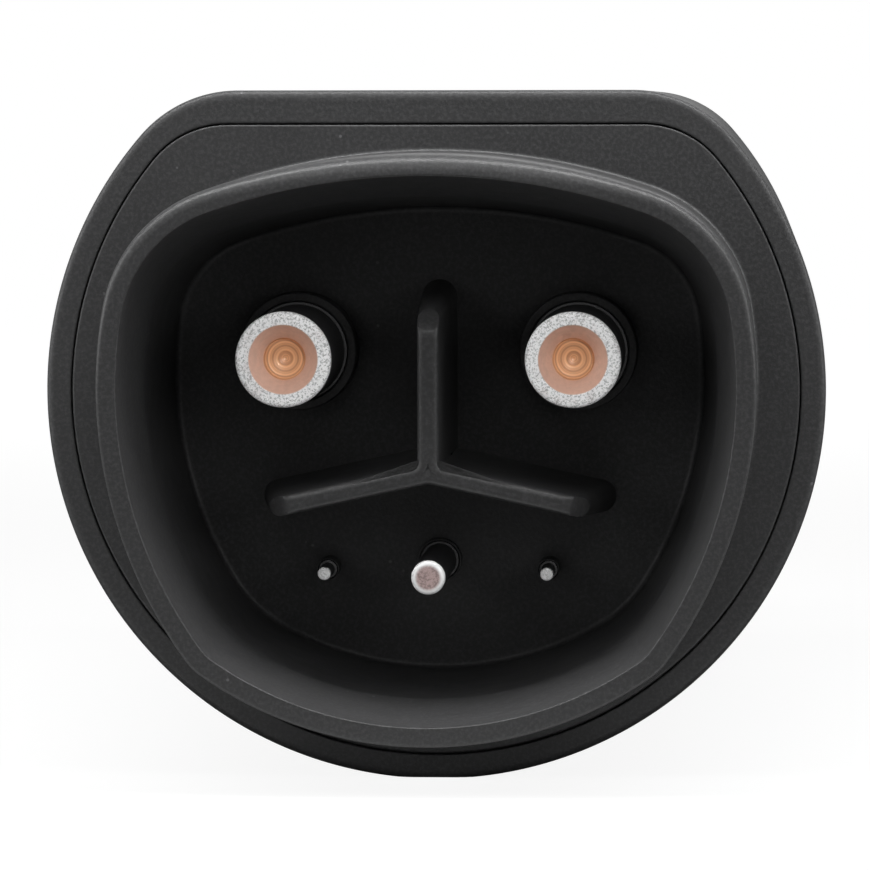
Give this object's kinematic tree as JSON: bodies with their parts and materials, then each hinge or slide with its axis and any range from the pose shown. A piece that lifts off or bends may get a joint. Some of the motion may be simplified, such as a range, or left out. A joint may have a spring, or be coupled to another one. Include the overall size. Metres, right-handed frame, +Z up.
{
  "type": "electric vehicle charging adapter",
  "caption": "Rigid black adapter between a charging connector and a vehicle's inlet: round body with a flat top, deep recess with pins in front, latch on top.",
  "frame": {"origin": "centre of the bounding box's bottom, under the middle of the body", "axes": "+Y from the pin recess to the plug nose, +X to the right seen from the recess, +Z up to the flat top"},
  "size_m": [0.0662, 0.15, 0.0585],
  "materials": {
    "shell_plastic": "fine satin grain",
    "inlet_plastic": "fine satin grain",
    "plug_plastic": "satin",
    "carrier_plastic": "matt",
    "latch_plastic": "satin",
    "frame_plastic": "matt",
    "gasket_rubber": "matt",
    "pin_silver": "silver plated, sandy satin",
    "contact_silver": "silver plated, satin",
    "screw_steel": "satin",
    "spring_steel": "bright",
    "board_laminate": "gloss",
    "resistor_ceramic": "matt",
    "switch_plastic": "matt",
    "plunger_plastic": "satin",
    "line_insulation": "satin",
    "ground_insulation": "satin",
    "signal_insulation": "satin"
  },
  "bodies": {
    "housing": {"housing_shell": "shell_plastic", "inlet_moulding": "inlet_plastic", "plug_nose": "plug_plastic", "latch_carrier": "carrier_plastic", "core_frame": "frame_plastic", "pin_retainer": "frame_plastic", "socket_retainer": "frame_plastic", "inlet_gasket": "gasket_rubber", "plug_gasket": "gasket_rubber", "pin_screws": "screw_steel", "socket_screws": "screw_steel", "tie_screws": "screw_steel", "board_screws": "screw_steel", "carrier_screws": "screw_steel", "latch_pivot": "screw_steel", "latch_spring": "spring_steel", "circuit_board": "board_laminate", "board_resistors": "resistor_ceramic", "latch_switch": "switch_plastic", "jumper_wires": "signal_insulation", "line_lead_left": "line_insulation", "line_lead_right": "line_insulation", "ground_lead": "ground_insulation", "pilot_lead": "signal_insulation", "proximity_lead": "signal_insulation", "power_pin_left": "pin_silver", "power_pin_right": "pin_silver", "ground_pin": "pin_silver", "pilot_pin": "pin_silver", "proximity_pin": "pin_silver", "line_socket_left": "contact_silver", "line_socket_right": "contact_silver", "ground_socket": "contact_silver", "pilot_socket": "contact_silver", "proximity_socket": "contact_silver"},
    "latch": {"latch_lever": "latch_plastic"},
    "plunger": {"switch_plunger": "plunger_plastic"}
  },
  "joints": [
    {"name": "latch_hinge", "type": "hinge", "parent": "housing", "child": "latch", "pos_m": [0, 0.031, 0.0526], "axis": [1, 0, 0], "range_deg": [0, 7], "stiffness_Nm_per_rad": 0.5, "springref_deg": -8.59, "deforming": ["latch_spring"]},
    {"name": "plunger_slide", "type": "slide", "parent": "housing", "child": "plunger", "axis": [0, 0, -1], "range_m": [0, 0.00171]}
  ],
  "couplings": [
    {"joint": "plunger_slide", "follows": "latch_hinge", "m_per_rad": 0.01396}
  ]
}
